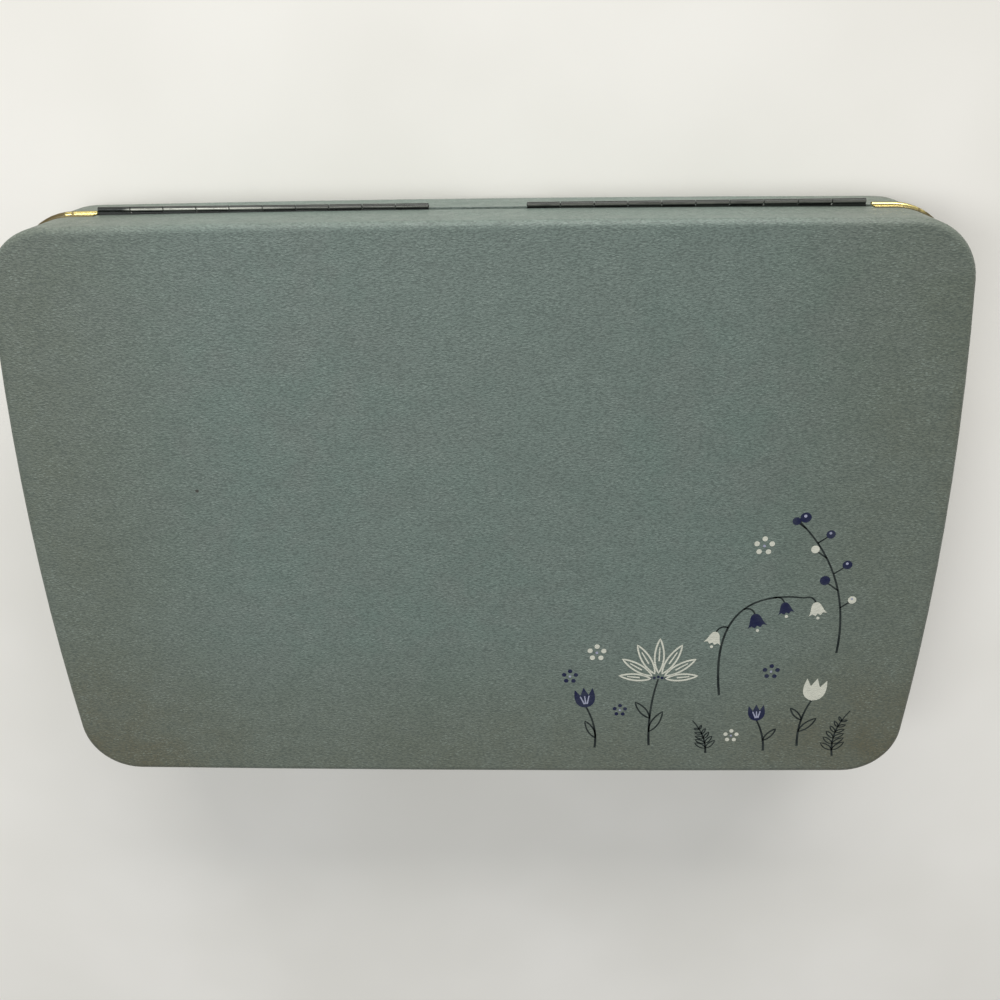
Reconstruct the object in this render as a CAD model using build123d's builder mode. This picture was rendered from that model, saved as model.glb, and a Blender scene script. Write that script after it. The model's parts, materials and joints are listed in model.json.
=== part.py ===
from build123d import *
import os
from math import cos, hypot, radians, sin, sqrt

# Jewelry case with two piano hinges and a tray that rises with the lid. Millimetres.
# The case lies closed on its bottom: +X to the right, +Y to the hinges, +Z up.
# The origin is the middle of the bottom face, under the centre of the outline.

# Outside of the case
case_width = 280.0
case_depth = 183.2
base_height = 27.0
lid_height = 22.5
side_bow = 4.8
end_bow = 0.8
corner_radius = 18.3
base_step = 0.4
lid_edge_radius = 2.2
base_edge_radius = 8.0

# Boards, coverings and linings
cover_thickness = 0.8
wall_thickness = 4.0
panel_thickness = 3.0
lining_thickness = 0.6
sheet_thickness = 0.8
sheet_margin = 9.0

# Brass rims at the seam
rim_gap = 0.4
rim_thickness = 0.4
rim_lip_height = 3.0
rim_lip_thickness = 0.5
base_band_height = 1.6
base_rim_proud = 0.65
base_bead_radius = 0.8
base_band_round = 0.4
lid_band_height = 2.8
lid_rim_proud = 0.3
lid_band_round = 0.2
rim_room_left = 0.6
rim_room_right = 1.9

# Piano hinges
hinge_inner_x = 14.1
knuckle_count = 10
knuckle_pitch = 9.68
knuckle_radius = 0.78
knuckle_gap = 0.3
hinge_proud = 0.55
pin_radius = 0.4
pin_clearance = 0.05
barrel_clearance = 0.15
leaf_gap = 0.2
leaf_depth = 8.0
rivet_radius = 1.0
rivet_length = 2.5
rivet_drop = 5.2
rivets_per_leaf = 3
hole_clearance = 0.05

# Tray and its four-bar carriage
arm_length = 30.0
arm_droop = 5.0
arm_width = 7.0
arm_thickness = 1.2
arm_pivot_ahead = 97.3
arm_pivot_below_seam = 3.2
tray_side_room = 14.0
tray_front_room = 29.6
tray_rear_room = 21.6
tray_bottom = 18.5
tray_height = 15.0
tray_wall = 2.0
tray_floor = 1.4
tray_corner_radius = 4.0
stud_radius = 1.5
stud_clearance = 0.05
open_pivot_clearance = 0.25
stud_collar_radius = 2.6
stud_head_radius = 2.4
stud_head_thickness = 0.6
side_gap = 0.3
arm_gap = 3.2
arm_mount_thickness = 1.0
arm_mount_length = 14.0
arm_mount_height = 9.0
arm_mount_drop = 2.0
arm_mount_corner = 1.5

# Brackets in the lid
bracket_ahead = 12.6
bracket_behind = 7.4
bracket_thickness = 1.2
bracket_width = 7.0
bracket_foot = 2.5
bracket_height = 6.7
bracket_rivet_radius = 1.2
bracket_corner = 1.5
bracket_off_wall = 3.0
bracket_collar_radius = 2.2

# Compartments
divider_thickness = 2.0
base_divider_height = 10.8
front_well_depth = 28.1
base_divider_x = 42.0
tray_divider_height = 11.5
tray_front_bay = 45.0
tray_front_divider_x = 42.0
tray_rear_divider_x = 59.0
divider_gap = 0.1
divider_round = 0.8
roll_radius = 5.0
roll_count = 7

# Cushion in the lid
pad_margin = 1.2
pad_thickness = 4.0
pad_edge_radius = 2.6

# Lock at the front
lock_play = 0.4
plate_width = 32.0
plate_height = 10.0
plate_thickness = 0.8
plate_corner = 2.5
plate_chamfer = 0.3
plate_below_rim = 0.4
lock_travel = 3.0
lock_wall = 0.6
bolt_thickness = 1.2
bolt_height = 2.4
bolt_length = 8.0
stem_size = 3.0
stem_below_seam = 8.2
button_width = 9.0
button_height = 6.0
button_thickness = 2.2
button_corner = 1.2
button_round = 0.5
grip_count = 3
grip_pitch = 2.2
grip_width = 0.8
grip_depth = 0.5
grip_margin = 1.0
hook_shank = 3.0
hook_barb = 3.0
hook_barb_height = 2.0
hook_rise = 6.0

# Worked out from the sizes above
seam_z = base_height
case_height = base_height + lid_height
half_width = case_width / 2
half_depth = case_depth / 2
corner_x = half_width - side_bow
corner_y = half_depth - end_bow
side_arc_radius = (corner_y**2 + side_bow**2) / (2 * side_bow)
end_arc_radius = (corner_x**2 + end_bow**2) / (2 * end_bow)

board_gap = rim_gap / 2 + rim_thickness
leaf_thickness = board_gap - leaf_gap / 2
base_edge_z = seam_z - board_gap
lid_edge_z = seam_z + board_gap

base_out = base_step
base_board = base_out - cover_thickness
base_inside = base_board - wall_thickness
base_lined = base_inside - lining_thickness
lid_out = 0.0
lid_board = lid_out - cover_thickness
lid_inside = lid_board - wall_thickness
lid_lined = lid_inside - lining_thickness

board_bottom = sheet_thickness + cover_thickness
floor_z = board_bottom + panel_thickness
lined_floor_z = floor_z + lining_thickness
lid_board_top = case_height - cover_thickness
ceiling_z = lid_board_top - panel_thickness

hinge_y = half_depth + base_out + hinge_proud
hinge_length = knuckle_count * knuckle_pitch
hinge_middle_x = hinge_inner_x + hinge_length / 2
hinge_outer_x = hinge_inner_x + hinge_length
barrel_room = knuckle_radius + barrel_clearance
bore_radius = pin_radius + pin_clearance

arm_pivot_y = hinge_y - arm_pivot_ahead
swing_y = -arm_length * cos(radians(arm_droop))
swing_z = -arm_length * sin(radians(arm_droop))
lid_pivot_y = hinge_y + swing_y
lid_pivot_z = seam_z + swing_z
arm_pivot_z = seam_z - arm_pivot_below_seam
tray_pivot_y = arm_pivot_y + swing_y
tray_pivot_z = arm_pivot_z + swing_z

tray_half_width = half_width - tray_side_room
tray_front_y = -half_depth + tray_front_room
tray_rear_y = half_depth - tray_rear_room
arm_inside_x = tray_half_width + arm_gap
arm_out_x = arm_inside_x + arm_thickness
base_divider_y = -half_depth + front_well_depth
tray_divider_y = tray_front_y + tray_front_bay
tray_inside_x = tray_half_width - tray_wall
tray_lined_x = tray_inside_x - lining_thickness
tray_floor_z = tray_bottom + tray_floor
tray_lined_z = tray_floor_z + lining_thickness
tray_depth = tray_rear_y - tray_front_y
tray_middle_y = (tray_front_y + tray_rear_y) / 2


def side_face_x(y, grow):
    """Where the bowed side, offset outward by grow, stands at a given y."""
    return half_width + grow - y**2 / (2 * side_arc_radius)


def corner_point(grow):
    """Where two neighbouring sides of the outline would meet without the round corner."""
    side_radius = side_arc_radius + grow
    end_radius = end_arc_radius + grow
    side_centre_x = half_width - side_arc_radius
    end_centre_y = half_depth - end_arc_radius
    span = hypot(side_centre_x, end_centre_y)
    along = (side_radius**2 - end_radius**2 + span**2) / (2 * span)
    across = sqrt(side_radius**2 - along**2)
    x = side_centre_x - (side_centre_x * along + end_centre_y * across) / span
    y = (end_centre_y * along - side_centre_x * across) / span
    return x, y


def case_outline(grow):
    """Outline of the case: four bowed sides with round corners, grown outward by grow."""
    x, y = corner_point(grow)
    wide = half_width + grow
    deep = half_depth + grow
    with BuildSketch() as flat:
        with BuildLine():
            ThreePointArc((x, -y), (wide, 0), (x, y))
            ThreePointArc((x, y), (0, deep), (-x, y))
            ThreePointArc((-x, y), (-wide, 0), (-x, -y))
            ThreePointArc((-x, -y), (0, -deep), (x, -y))
        make_face()
        fillet(flat.vertices(), radius=corner_radius + grow)
    return flat.sketch


def case_block(grow, low, high):
    """Solid block with the outline of the case between two heights."""
    with BuildPart() as block:
        with BuildSketch(Plane.XY.offset(low)):
            add(case_outline(grow))
        extrude(amount=high - low)
    return block.part


def rounded_block(grow, low, high, radius, round_top):
    """Block with the outline of the case whose bottom or top edge is rounded."""
    with BuildPart() as block:
        add(case_block(grow, low, high))
        face = block.faces().sort_by(Axis.Z)[-1 if round_top else 0]
        fillet(face.edges(), radius=radius)
    return block.part


def hinge_places():
    """Middles of the right and the left hinge barrel."""
    return Locations((hinge_middle_x, hinge_y, seam_z), (-hinge_middle_x, hinge_y, seam_z))


def cut_barrel_rooms():
    """Round grooves in an edge, in which the two hinge barrels turn."""
    with hinge_places():
        Cylinder(
            radius=barrel_room,
            height=hinge_length + 2 * barrel_clearance,
            rotation=(0, 90, 0),
            mode=Mode.SUBTRACT,
        )


def cut_box(low, high):
    """Cut a box given by its lowest and its highest corner."""
    middle = [(a + b) / 2 for a, b in zip(low, high)]
    size = [b - a for a, b in zip(low, high)]
    with Locations(tuple(middle)):
        Box(*size, mode=Mode.SUBTRACT)


def fill_box(low, high):
    """Add a box given by its lowest and its highest corner."""
    middle = [(a + b) / 2 for a, b in zip(low, high)]
    size = [b - a for a, b in zip(low, high)]
    with Locations(tuple(middle)):
        Box(*size)


def rivet_xs(side):
    """Places of the rivets along one leaf."""
    step = hinge_length / rivets_per_leaf
    return [side * (hinge_inner_x + step * (i + 0.5)) for i in range(rivets_per_leaf)]


# Brackets of the lid: flat plates, parallel to the tray's sides, riveted to the side boards
# through collars that keep them off the lining
bracket_front_y = lid_pivot_y - bracket_ahead
bracket_rear_y = lid_pivot_y + bracket_behind
bracket_out_x = side_face_x(bracket_rear_y, lid_lined) - hole_clearance - bracket_off_wall
bracket_in_x = bracket_out_x - bracket_thickness
bracket_low = lid_edge_z + bracket_foot
bracket_top = bracket_low + bracket_height
bracket_middle_y = (bracket_front_y + bracket_rear_y) / 2
bracket_rivet_ys = (
    bracket_middle_y - (bracket_rear_y - bracket_front_y) / 3,
    bracket_middle_y + (bracket_rear_y - bracket_front_y) / 3,
)
bracket_rivet_z = (bracket_low + bracket_top) / 2


def bore_rivet_holes(inside, reach):
    """Holes for the bracket rivets through the side boards or the lining of the lid."""
    for side in (1, -1):
        for y in bracket_rivet_ys:
            start_x = side_face_x(y, inside) - lining_thickness
            with Locations((side * (start_x + reach / 2), y, bracket_rivet_z)):
                Cylinder(
                    radius=bracket_rivet_radius + hole_clearance,
                    height=reach,
                    rotation=(0, 90, 0),
                    mode=Mode.SUBTRACT,
                )


# Flanges of the leaves: flat, upright, let into the inner face of the rear boards
base_flange_y = half_depth + base_inside
lid_flange_y = half_depth + lid_inside
flange_reach = end_bow + lining_thickness

# The hook and the bolt stand in one plane inside the front boards
lock_y = -(half_depth + base_board) + (wall_thickness - bolt_thickness) / 2
bolt_front_y = lock_y
bolt_back_y = lock_y + bolt_thickness
stem_x = lock_travel / 2
stem_z = seam_z - stem_below_seam
bolt_low = stem_z - bolt_height / 2
bolt_high = stem_z + bolt_height / 2
bolt_nose_x = stem_x - bolt_length / 2
barb_tip_x = bolt_nose_x - lock_play
hook_x = barb_tip_x - hook_barb
barb_top = bolt_low - lock_play
barb_low = barb_top - hook_barb_height
case_low = barb_low - lock_play - lock_wall
case_left = hook_x - hook_shank - lock_play - lock_wall
case_right = bolt_nose_x + bolt_length + lock_play + lock_wall
stem_slot_left = stem_x - lock_travel - stem_size / 2 - lock_play
stem_slot_right = stem_x + stem_size / 2 + lock_play
stem_slot_low = stem_z - stem_size / 2 - lock_play
stem_slot_high = stem_z + stem_size / 2 + lock_play
front_board_y = -(half_depth + base_board)
front_inside_y = -(half_depth + base_inside)
front_face_y = -(half_depth + base_out)

# Boards of the base
base_shell_out = rounded_block(
    base_board, board_bottom, base_edge_z, base_edge_radius - cover_thickness, False
)
base_hollow = case_block(base_inside, floor_z, base_edge_z)
with BuildPart() as base_core:
    add(base_shell_out)
    add(base_hollow, mode=Mode.SUBTRACT)
    cut_barrel_rooms()
    for side in (1, -1):
        xs = sorted((side * (hinge_inner_x - knuckle_gap), side * (hinge_outer_x + knuckle_gap)))
        cut_box(
            (xs[0], base_flange_y - flange_reach, base_edge_z - leaf_depth),
            (xs[1], base_flange_y + leaf_thickness, base_edge_z),
        )
        for x in rivet_xs(side):
            with Locations((x, base_flange_y + leaf_thickness, base_edge_z - rivet_drop)):
                Cylinder(
                    radius=rivet_radius + hole_clearance,
                    height=rivet_length + hole_clearance,
                    rotation=(-90, 0, 0),
                    align=(Align.CENTER, Align.CENTER, Align.MIN),
                    mode=Mode.SUBTRACT,
                )
    cut_box(
        (case_left - hole_clearance, front_board_y - cover_thickness, case_low - hole_clearance),
        (case_right + hole_clearance, front_inside_y + cover_thickness, base_edge_z),
    )
base_core.part.label = "base_core"

# Leatherette round the base
base_cover_out = rounded_block(base_out, sheet_thickness, base_edge_z, base_edge_radius, False)
with BuildPart() as base_cover:
    add(base_cover_out)
    add(base_shell_out, mode=Mode.SUBTRACT)
    cut_barrel_rooms()
    cut_box(
        (stem_slot_left, front_face_y - cover_thickness, stem_slot_low),
        (stem_slot_right, front_board_y + cover_thickness, stem_slot_high),
    )
base_cover.part.label = "base_cover"

# Felt sheet on which the case rests
with BuildPart() as bottom_sheet:
    with BuildSketch():
        add(case_outline(base_out - sheet_margin))
    extrude(amount=sheet_thickness)
bottom_sheet.part.label = "bottom_sheet"

# Velvet skin inside the base
base_lining_out = case_block(base_inside, floor_z, base_edge_z - rim_lip_height)
base_lining_in = case_block(base_lined, lined_floor_z, base_edge_z)
with BuildPart() as base_lining:
    add(base_lining_out)
    add(base_lining_in, mode=Mode.SUBTRACT)
base_lining.part.label = "base_lining"


def make_rim(out, inside, proud, band_height, seam_round, far_round, base_side):
    """Brass channel over the edge of the boards: outer band, cap over the edge, inner lip."""
    direction = -1 if base_side else 1
    face_z = seam_z + direction * rim_gap / 2
    edge_z = face_z + direction * rim_thickness
    band_z = face_z + direction * band_height
    lip_z = edge_z + direction * rim_lip_height
    band = case_block(out + proud, min(face_z, band_z), max(face_z, band_z))
    boards = case_block(out, min(edge_z, band_z), max(edge_z, band_z))
    lip = case_block(inside, min(edge_z, lip_z), max(edge_z, lip_z))
    hole = case_block(
        inside - rim_lip_thickness,
        min(face_z, band_z, lip_z) - rim_gap,
        max(face_z, band_z, lip_z) + rim_gap,
    )
    with BuildPart() as rim:
        add(band)
        seam_face = rim.faces().sort_by(Axis.Z)[-1 if base_side else 0]
        fillet(seam_face.edges(), radius=seam_round)
        far_face = rim.faces().sort_by(Axis.Z)[0 if base_side else -1]
        fillet(far_face.edges(), radius=far_round)
        add(boards, mode=Mode.SUBTRACT)
        add(lip)
        add(hole, mode=Mode.SUBTRACT)
        cut_box(
            (-hinge_outer_x - rim_room_left, half_depth - corner_radius, seam_z - base_height),
            (hinge_outer_x + rim_room_right, half_depth + corner_radius, seam_z + lid_height),
        )
        cut_box(
            (hook_x - hook_shank - lock_play, bolt_front_y - lock_play, edge_z - band_height),
            (barb_tip_x + lock_play, bolt_back_y + lock_play, edge_z + band_height),
        )
    return rim.part


with BuildPart() as base_rim:
    add(
        make_rim(
            base_out,
            base_inside,
            base_rim_proud,
            base_band_height,
            base_bead_radius,
            base_band_round,
            True,
        )
    )
base_rim.part.label = "base_rim"

with BuildPart() as lid_rim:
    add(
        make_rim(
            lid_out,
            lid_inside,
            lid_rim_proud,
            lid_band_height,
            lid_band_round,
            lid_band_round,
            False,
        )
    )
lid_rim.part.label = "lid_rim"

# Boards of the lid
lid_shell_out = rounded_block(
    lid_board, lid_edge_z, lid_board_top, lid_edge_radius - cover_thickness, True
)
lid_hollow = case_block(lid_inside, lid_edge_z, ceiling_z)
hook_top = lid_edge_z + hook_rise
with BuildPart() as lid_core:
    add(lid_shell_out)
    add(lid_hollow, mode=Mode.SUBTRACT)
    cut_barrel_rooms()
    for side in (1, -1):
        xs = sorted((side * (hinge_inner_x - knuckle_gap), side * (hinge_outer_x + knuckle_gap)))
        cut_box(
            (xs[0], lid_flange_y - flange_reach, lid_edge_z),
            (xs[1], lid_flange_y + leaf_thickness, lid_edge_z + leaf_depth),
        )
        for x in rivet_xs(side):
            with Locations((x, lid_flange_y + leaf_thickness, lid_edge_z + rivet_drop)):
                Cylinder(
                    radius=rivet_radius + hole_clearance,
                    height=rivet_length + hole_clearance,
                    rotation=(-90, 0, 0),
                    align=(Align.CENTER, Align.CENTER, Align.MIN),
                    mode=Mode.SUBTRACT,
                )
    cut_box(
        (hook_x - hook_shank - hole_clearance, bolt_front_y - hole_clearance, lid_edge_z),
        (hook_x + hole_clearance, bolt_back_y + hole_clearance, hook_top + hole_clearance),
    )
    bore_rivet_holes(lid_inside, lining_thickness + rivet_length + hole_clearance)
lid_core.part.label = "lid_core"

# Leatherette over the lid
lid_cover_out = rounded_block(lid_out, lid_edge_z, case_height, lid_edge_radius, True)
with BuildPart() as lid_cover:
    add(lid_cover_out)
    add(lid_shell_out, mode=Mode.SUBTRACT)
    cut_barrel_rooms()
lid_cover.part.label = "lid_cover"

# Satin skin inside the lid and the cushion on its ceiling
lid_lining_out = case_block(lid_inside, lid_edge_z + rim_lip_height, ceiling_z)
lid_lining_in = case_block(lid_lined, lid_edge_z, ceiling_z)
with BuildPart() as lid_lining:
    add(lid_lining_out)
    add(lid_lining_in, mode=Mode.SUBTRACT)
    bore_rivet_holes(lid_lined, 3 * lining_thickness)
lid_lining.part.label = "lid_lining"

pad_block = case_block(lid_lined - pad_margin, ceiling_z - pad_thickness, ceiling_z)
with BuildPart() as lid_pad:
    add(pad_block)
    fillet(lid_pad.faces().sort_by(Axis.Z)[0].edges(), radius=pad_edge_radius)
lid_pad.part.label = "lid_pad"


def make_leaf(side, base_side):
    """One hinge leaf: a bent plate over the board's edge, with every second knuckle."""
    direction = -1 if base_side else 1
    flange_y = base_flange_y if base_side else lid_flange_y
    near_z = seam_z + direction * leaf_gap / 2
    far_z = near_z + direction * leaf_thickness
    tip_z = far_z + direction * (leaf_depth - hole_clearance)
    start_x = hinge_inner_x if side > 0 else -hinge_outer_x
    plate_y = hinge_y - barrel_room
    with BuildPart() as leaf:
        fill_box(
            (start_x, flange_y, min(near_z, far_z)),
            (start_x + hinge_length, plate_y, max(near_z, far_z)),
        )
        fill_box(
            (start_x, flange_y, min(near_z, tip_z)),
            (start_x + hinge_length, flange_y + leaf_thickness, max(near_z, tip_z)),
        )
        first = 0 if base_side else 1
        for i in range(first, knuckle_count, 2):
            place = i if side > 0 else knuckle_count - 1 - i
            knuckle_x = start_x + place * knuckle_pitch + knuckle_gap / 2
            knuckle_length = knuckle_pitch - knuckle_gap
            with BuildSketch(Plane.YZ.offset(knuckle_x)):
                with Locations((hinge_y, seam_z)):
                    Circle(knuckle_radius)
                tab = (plate_y - knuckle_radius / 2, hinge_y - (knuckle_radius + bore_radius) / 2)
                with Locations(((tab[0] + tab[1]) / 2, (near_z + far_z) / 2)):
                    Rectangle(tab[1] - tab[0], leaf_thickness)
                with Locations((hinge_y, seam_z)):
                    Circle(bore_radius, mode=Mode.SUBTRACT)
            extrude(amount=knuckle_length)
        for x in rivet_xs(side):
            rivet_z = (base_edge_z if base_side else lid_edge_z) + direction * rivet_drop
            with Locations((x, flange_y, rivet_z)):
                Cylinder(
                    radius=rivet_radius + hole_clearance,
                    height=4 * leaf_thickness,
                    rotation=(90, 0, 0),
                    mode=Mode.SUBTRACT,
                )
    return leaf.part


with BuildPart() as hinge_leaf_base_right:
    add(make_leaf(1, True))
hinge_leaf_base_right.part.label = "hinge_leaf_base_right"

with BuildPart() as hinge_leaf_base_left:
    add(make_leaf(-1, True))
hinge_leaf_base_left.part.label = "hinge_leaf_base_left"

with BuildPart() as hinge_leaf_lid_right:
    add(make_leaf(1, False))
hinge_leaf_lid_right.part.label = "hinge_leaf_lid_right"

with BuildPart() as hinge_leaf_lid_left:
    add(make_leaf(-1, False))
hinge_leaf_lid_left.part.label = "hinge_leaf_lid_left"


def make_pin(side):
    """Hinge pin through all knuckles of one hinge."""
    with BuildPart() as pin:
        with Locations((side * hinge_middle_x, hinge_y, seam_z)):
            Cylinder(radius=pin_radius, height=hinge_length, rotation=(0, 90, 0))
    return pin.part


with BuildPart() as hinge_pin_right:
    add(make_pin(1))
hinge_pin_right.part.label = "hinge_pin_right"

with BuildPart() as hinge_pin_left:
    add(make_pin(-1))
hinge_pin_left.part.label = "hinge_pin_left"


def make_rivets(flange_y, rivet_z):
    """Rivets that hold both leaves of one half of the case to its rear board."""
    with BuildPart() as rivets:
        for side in (1, -1):
            for x in rivet_xs(side):
                with Locations((x, flange_y, rivet_z)):
                    Cylinder(
                        radius=rivet_radius,
                        height=leaf_thickness + rivet_length,
                        rotation=(-90, 0, 0),
                        align=(Align.CENTER, Align.CENTER, Align.MIN),
                    )
    return rivets.part


with BuildPart() as hinge_rivets_base:
    add(make_rivets(base_flange_y, base_edge_z - rivet_drop))
hinge_rivets_base.part.label = "hinge_rivets_base"

with BuildPart() as hinge_rivets_lid:
    add(make_rivets(lid_flange_y, lid_edge_z + rivet_drop))
hinge_rivets_lid.part.label = "hinge_rivets_lid"


def base_divider(low, high):
    """Upright divider board in the base, between two corners of its plan."""
    with BuildPart() as board:
        fill_box(
            (low[0], low[1], lined_floor_z),
            (high[0], high[1], lined_floor_z + base_divider_height),
        )
        fillet(board.faces().sort_by(Axis.Z)[-1].edges().sort_by(SortBy.LENGTH)[-2:], radius=divider_round)
    return board.part


# Dividers of the bottom compartment
divider_reach = side_face_x(base_divider_y, base_lined) - side_gap
half_divider = divider_thickness / 2
with BuildPart() as base_divider_long:
    add(
        base_divider(
            (-divider_reach, base_divider_y - half_divider),
            (divider_reach, base_divider_y + half_divider),
        )
    )
base_divider_long.part.label = "base_divider_long"

rear_lined_y = half_depth + base_lined - side_gap
with BuildPart() as base_divider_right:
    add(
        base_divider(
            (base_divider_x - half_divider, base_divider_y + half_divider + divider_gap),
            (base_divider_x + half_divider, rear_lined_y),
        )
    )
base_divider_right.part.label = "base_divider_right"

with BuildPart() as base_divider_left:
    add(
        base_divider(
            (-base_divider_x - half_divider, base_divider_y + half_divider + divider_gap),
            (-base_divider_x + half_divider, rear_lined_y),
        )
    )
base_divider_left.part.label = "base_divider_left"

# Tray that hangs on the lid's brackets and stands on two arms
with BuildPart() as tray_shell:
    with BuildSketch(Plane.XY.offset(tray_bottom)):
        with Locations((0, tray_middle_y)):
            RectangleRounded(2 * tray_half_width, tray_depth, tray_corner_radius)
    extrude(amount=tray_height)
    with BuildSketch(Plane.XY.offset(tray_floor_z)):
        with Locations((0, tray_middle_y)):
            RectangleRounded(
                2 * tray_inside_x, tray_depth - 2 * tray_wall, tray_corner_radius - tray_wall
            )
    extrude(amount=tray_height, mode=Mode.SUBTRACT)
tray_shell.part.label = "tray_shell"

tray_lining_round = tray_corner_radius - tray_wall
with BuildPart() as tray_lining:
    with BuildSketch(Plane.XY.offset(tray_floor_z)):
        with Locations((0, tray_middle_y)):
            RectangleRounded(2 * tray_inside_x, tray_depth - 2 * tray_wall, tray_lining_round)
    extrude(amount=tray_height - tray_floor)
    with BuildSketch(Plane.XY.offset(tray_lined_z)):
        with Locations((0, tray_middle_y)):
            RectangleRounded(
                2 * tray_lined_x,
                tray_depth - 2 * tray_wall - 2 * lining_thickness,
                tray_lining_round - lining_thickness,
            )
    extrude(amount=tray_height, mode=Mode.SUBTRACT)
tray_lining.part.label = "tray_lining"


def tray_divider(low, high):
    """Upright divider board in the tray, between two corners of its plan."""
    with BuildPart() as board:
        fill_box(
            (low[0], low[1], tray_lined_z),
            (high[0], high[1], tray_lined_z + tray_divider_height),
        )
        fillet(board.faces().sort_by(Axis.Z)[-1].edges().sort_by(SortBy.LENGTH)[-2:], radius=divider_round)
    return board.part


tray_front_lined = tray_front_y + tray_wall + lining_thickness + divider_gap
tray_rear_lined = tray_rear_y - tray_wall - lining_thickness - divider_gap
with BuildPart() as tray_divider_long:
    add(
        tray_divider(
            (-tray_lined_x + divider_gap, tray_divider_y - half_divider),
            (tray_lined_x - divider_gap, tray_divider_y + half_divider),
        )
    )
tray_divider_long.part.label = "tray_divider_long"
paired_pieces = []
for side, word in ((1, "right"), (-1, "left")):
    with BuildPart() as tray_divider_front:
        add(
            tray_divider(
                (side * tray_front_divider_x - half_divider, tray_front_lined),
                (
                    side * tray_front_divider_x + half_divider,
                    tray_divider_y - half_divider - divider_gap,
                ),
            )
        )
    tray_divider_front.part.label = "tray_divider_front_" + word
    with BuildPart() as tray_divider_rear:
        add(
            tray_divider(
                (
                    side * tray_rear_divider_x - half_divider,
                    tray_divider_y + half_divider + divider_gap,
                ),
                (side * tray_rear_divider_x + half_divider, tray_rear_lined),
            )
        )
    tray_divider_rear.part.label = "tray_divider_rear_" + word
    paired_pieces += [tray_divider_front.part, tray_divider_rear.part]

# Soft rolls that hold rings, side by side in the left rear compartment
roll_bay_left = -tray_lined_x + divider_gap
roll_bay_right = -tray_rear_divider_x - half_divider - divider_gap
roll_bay_front = tray_divider_y + half_divider
roll_pitch = (tray_rear_lined - roll_bay_front) / roll_count
roll_length = roll_bay_right - roll_bay_left - 2 * side_gap
with BuildPart() as ring_rolls:
    for i in range(roll_count):
        roll_y = roll_bay_front + roll_pitch * (i + 0.5)
        with Locations(((roll_bay_left + roll_bay_right) / 2, roll_y, tray_lined_z + roll_radius)):
            Cylinder(radius=roll_radius, height=roll_length, rotation=(0, 90, 0))
ring_rolls.part.label = "ring_rolls"


def turned_stud(side, place, steps):
    """Stud along X: steps of (start x, end x, radius) on one axis, mirrored for the left."""
    with BuildPart() as stud:
        for start, end, radius in steps:
            first = min(side * start, side * end)
            with BuildSketch(Plane.YZ.offset(first)):
                with Locations(place):
                    Circle(radius)
            extrude(amount=abs(end - start))
    return stud.part


def make_bracket(side):
    """Plate in the lid with a finger down to the tray's rear pivot."""
    start = side * bracket_in_x if side > 0 else -bracket_out_x
    with BuildPart() as bracket:
        with BuildSketch(Plane.YZ.offset(start)) as plate:
            with Locations((bracket_middle_y, bracket_rivet_z)):
                Rectangle(bracket_rear_y - bracket_front_y, bracket_height)
            with Locations((lid_pivot_y, (lid_pivot_z + bracket_top) / 2)):
                Rectangle(bracket_width, bracket_top - lid_pivot_z)
            fillet(plate.vertices(), radius=bracket_corner)
            with Locations((lid_pivot_y, lid_pivot_z)):
                Circle(bracket_width / 2)
            with Locations((lid_pivot_y, lid_pivot_z)):
                Circle(stud_radius + stud_clearance, mode=Mode.SUBTRACT)
            with Locations(*[(y, bracket_rivet_z) for y in bracket_rivet_ys]):
                Circle(bracket_rivet_radius + hole_clearance, mode=Mode.SUBTRACT)
        extrude(amount=bracket_thickness)
    return bracket.part


def make_arm(side):
    """Flat arm between the base's stud and the tray's front stud."""
    start = arm_inside_x if side > 0 else -arm_out_x
    middle = ((arm_pivot_y + tray_pivot_y) / 2, (arm_pivot_z + tray_pivot_z) / 2)
    with BuildPart() as arm:
        with BuildSketch(Plane.YZ.offset(start)):
            with Locations(middle):
                SlotCenterToCenter(arm_length, arm_width, rotation=arm_droop)
            with Locations((arm_pivot_y, arm_pivot_z)):
                Circle(stud_radius + stud_clearance, mode=Mode.SUBTRACT)
            with Locations((tray_pivot_y, tray_pivot_z)):
                Circle(stud_radius + open_pivot_clearance, mode=Mode.SUBTRACT)
        extrude(amount=arm_thickness)
    return arm.part


mount_out_x = side_face_x(arm_mount_length, base_lined) - hole_clearance
mount_in_x = mount_out_x - arm_mount_thickness


def make_arm_mount(side):
    """Plate on the base's side wall with the stud that the arm turns on."""
    stud = turned_stud(
        side,
        (arm_pivot_y, arm_pivot_z),
        (
            (mount_in_x, arm_out_x + side_gap, stud_collar_radius),
            (arm_out_x + side_gap, arm_inside_x - side_gap, stud_radius),
            (
                arm_inside_x - side_gap,
                arm_inside_x - side_gap - stud_head_thickness,
                stud_head_radius,
            ),
        ),
    )
    plate_x = mount_in_x if side > 0 else -mount_out_x
    with BuildPart() as mount:
        with BuildSketch(Plane.YZ.offset(plate_x)):
            with Locations((arm_pivot_y, arm_pivot_z - arm_mount_drop)):
                RectangleRounded(arm_mount_length, arm_mount_height, arm_mount_corner)
        extrude(amount=arm_mount_thickness)
        add(stud)
    return mount.part


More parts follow.
